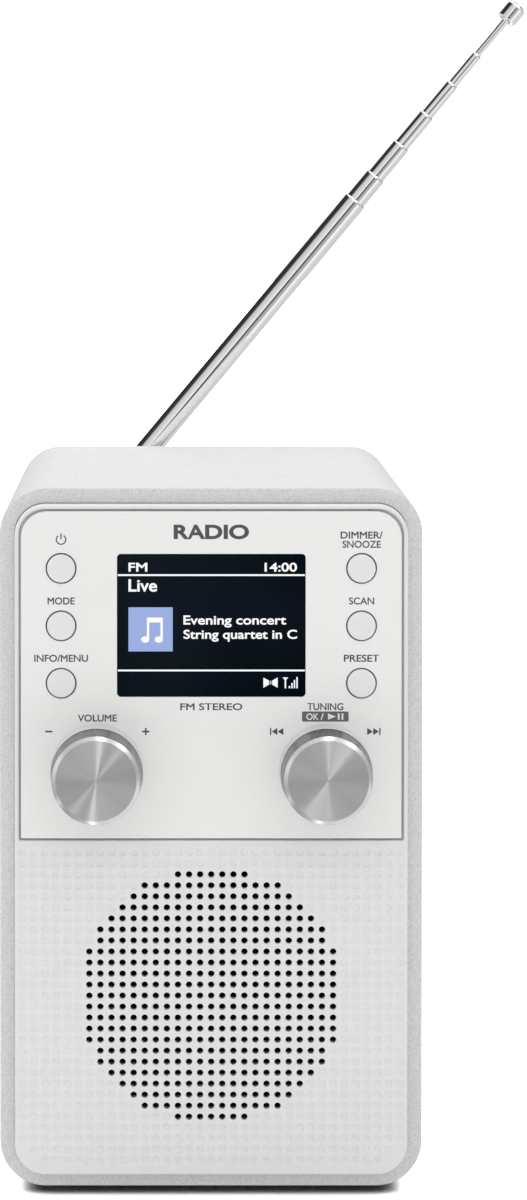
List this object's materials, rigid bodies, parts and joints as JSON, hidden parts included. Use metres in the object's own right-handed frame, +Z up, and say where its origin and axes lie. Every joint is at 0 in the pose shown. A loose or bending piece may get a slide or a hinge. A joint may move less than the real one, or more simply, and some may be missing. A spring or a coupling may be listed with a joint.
{
  "type": "tabletop radio",
  "caption": "Upright tabletop radio with a textured sleeve, colour display, push buttons, spun metal knobs, perforated speaker grille and folding telescopic antenna.",
  "frame": {"origin": "middle of the base pad's underside, midway between the case's front and back", "axes": "+X to the user's right, +Y from the front to the back, +Z up"},
  "size_m": [0.1551, 0.1304, 0.3266],
  "materials": {
    "textured_grey": "fine leather grain",
    "matt_white": "matt",
    "gloss_white": "high gloss",
    "light_grey": "semi gloss",
    "matt_grey": "fine spark texture",
    "display_glass": "polished",
    "black_rubber": "matt",
    "black_plastic": "satin",
    "black_cloth": "woven",
    "board_green": "solder mask",
    "zinc_plate": "plated",
    "black_steel": "blackened",
    "ferrite": "sintered",
    "copper": "enamelled wire",
    "spun_aluminium": "radially spun",
    "chrome": "polished"
  },
  "bodies": {
    "radio": {"case_shell": "textured_grey", "base_pad": "black_rubber", "front_frame": "matt_white", "control_plate": "gloss_white", "display_window": "display_glass", "display_gasket": "black_rubber", "lcd_panel": "display_glass", "lcd_tray": "black_plastic", "push_switches": "black_plastic", "volume_collar": "light_grey", "tuning_collar": "light_grey", "volume_encoder": "zinc_plate", "tuning_encoder": "zinc_plate", "control_board": "board_green", "grille_cloth": "black_cloth", "speaker_gasket": "black_rubber", "speaker_basket": "zinc_plate", "speaker_screws": "zinc_plate", "speaker_surround": "black_rubber", "speaker_cone": "black_cloth", "dust_cap": "black_cloth", "voice_coil": "copper", "speaker_spider": "black_cloth", "top_plate": "zinc_plate", "speaker_magnet": "ferrite", "magnet_yoke": "zinc_plate", "rear_cover": "matt_grey", "case_screws": "black_steel", "main_board": "board_green", "tuner_shield": "zinc_plate", "capacitors": "black_plastic", "board_screws": "zinc_plate", "dc_socket": "black_plastic", "headphone_socket": "black_plastic", "ribbon_cable": "light_grey", "swivel_nut": "zinc_plate"},
    "power_button": {"power_button": "light_grey"},
    "mode_button": {"mode_button": "light_grey"},
    "menu_button": {"menu_button": "light_grey"},
    "snooze_button": {"snooze_button": "light_grey"},
    "scan_button": {"scan_button": "light_grey"},
    "preset_button": {"preset_button": "light_grey"},
    "volume_knob": {"volume_knob": "spun_aluminium", "volume_knob_hub": "black_plastic", "volume_shaft": "zinc_plate"},
    "tuning_rotor": {"tuning_rotor": "black_plastic"},
    "tuning_knob": {"tuning_knob": "spun_aluminium", "tuning_knob_hub": "black_plastic", "tuning_shaft": "zinc_plate"},
    "antenna_swivel": {"antenna_swivel": "black_plastic", "knuckle_pin": "chrome"},
    "antenna_mast": {"antenna_knuckle": "chrome", "antenna_section_1": "chrome"},
    "antenna_section_2": {"antenna_section_2": "chrome"},
    "antenna_section_3": {"antenna_section_3": "chrome"},
    "antenna_section_4": {"antenna_section_4": "chrome"},
    "antenna_section_5": {"antenna_section_5": "chrome"},
    "antenna_section_6": {"antenna_section_6": "chrome"},
    "antenna_rod": {"antenna_rod": "chrome", "antenna_tip": "chrome"}
  },
  "joints": [
    {"name": "power_press", "type": "slide", "parent": "radio", "child": "power_button", "axis": [0, 1, 0], "range_m": [0, 0.0005], "stiffness_N_per_m": 1500},
    {"name": "mode_press", "type": "slide", "parent": "radio", "child": "mode_button", "axis": [0, 1, 0], "range_m": [0, 0.0005], "stiffness_N_per_m": 1500},
    {"name": "menu_press", "type": "slide", "parent": "radio", "child": "menu_button", "axis": [0, 1, 0], "range_m": [0, 0.0005], "stiffness_N_per_m": 1500},
    {"name": "snooze_press", "type": "slide", "parent": "radio", "child": "snooze_button", "axis": [0, 1, 0], "range_m": [0, 0.0005], "stiffness_N_per_m": 1500},
    {"name": "scan_press", "type": "slide", "parent": "radio", "child": "scan_button", "axis": [0, 1, 0], "range_m": [0, 0.0005], "stiffness_N_per_m": 1500},
    {"name": "preset_press", "type": "slide", "parent": "radio", "child": "preset_button", "axis": [0, 1, 0], "range_m": [0, 0.0005], "stiffness_N_per_m": 1500},
    {"name": "volume_turn", "type": "hinge", "parent": "radio", "child": "volume_knob", "pos_m": [-0.0303, -0.0555, 0.1148], "axis": [0, 1, 0], "continuous": true},
    {"name": "tuning_turn", "type": "hinge", "parent": "radio", "child": "tuning_rotor", "pos_m": [0.0303, -0.0555, 0.1148], "axis": [0, 1, 0], "continuous": true},
    {"name": "tuning_press", "type": "slide", "parent": "tuning_rotor", "child": "tuning_knob", "axis": [0, 1, 0], "range_m": [0, 0.0005], "stiffness_N_per_m": 3000},
    {"name": "antenna_turn", "type": "hinge", "parent": "radio", "child": "antenna_swivel", "pos_m": [-0.0408, 0.0575, 0.16], "axis": [0, 1, 0], "range_deg": [-129.8, 140.2]},
    {"name": "antenna_fold", "type": "hinge", "parent": "antenna_swivel", "child": "antenna_mast", "pos_m": [-0.0408, 0.0575, 0.16], "axis": [-0.7682, 0, 0.6402], "range_deg": [0, 90]},
    {"name": "antenna_slide_2", "type": "slide", "parent": "antenna_mast", "child": "antenna_section_2", "axis": [0.6402, 0, 0.7682], "range_m": [-0.0092, 0.096]},
    {"name": "antenna_slide_3", "type": "slide", "parent": "antenna_section_2", "child": "antenna_section_3", "axis": [0.6402, 0, 0.7682], "range_m": [-0.0118, 0.0904]},
    {"name": "antenna_slide_4", "type": "slide", "parent": "antenna_section_3", "child": "antenna_section_4", "axis": [0.6402, 0, 0.7682], "range_m": [-0.0117, 0.0875]},
    {"name": "antenna_slide_5", "type": "slide", "parent": "antenna_section_4", "child": "antenna_section_5", "axis": [0.6402, 0, 0.7682], "range_m": [-0.0118, 0.0844]},
    {"name": "antenna_slide_6", "type": "slide", "parent": "antenna_section_5", "child": "antenna_section_6", "axis": [0.6402, 0, 0.7682], "range_m": [-0.0113, 0.0819]},
    {"name": "antenna_slide_7", "type": "slide", "parent": "antenna_section_6", "child": "antenna_rod", "axis": [0.6402, 0, 0.7682], "range_m": [-0.0126, 0.0776]}
  ]
}
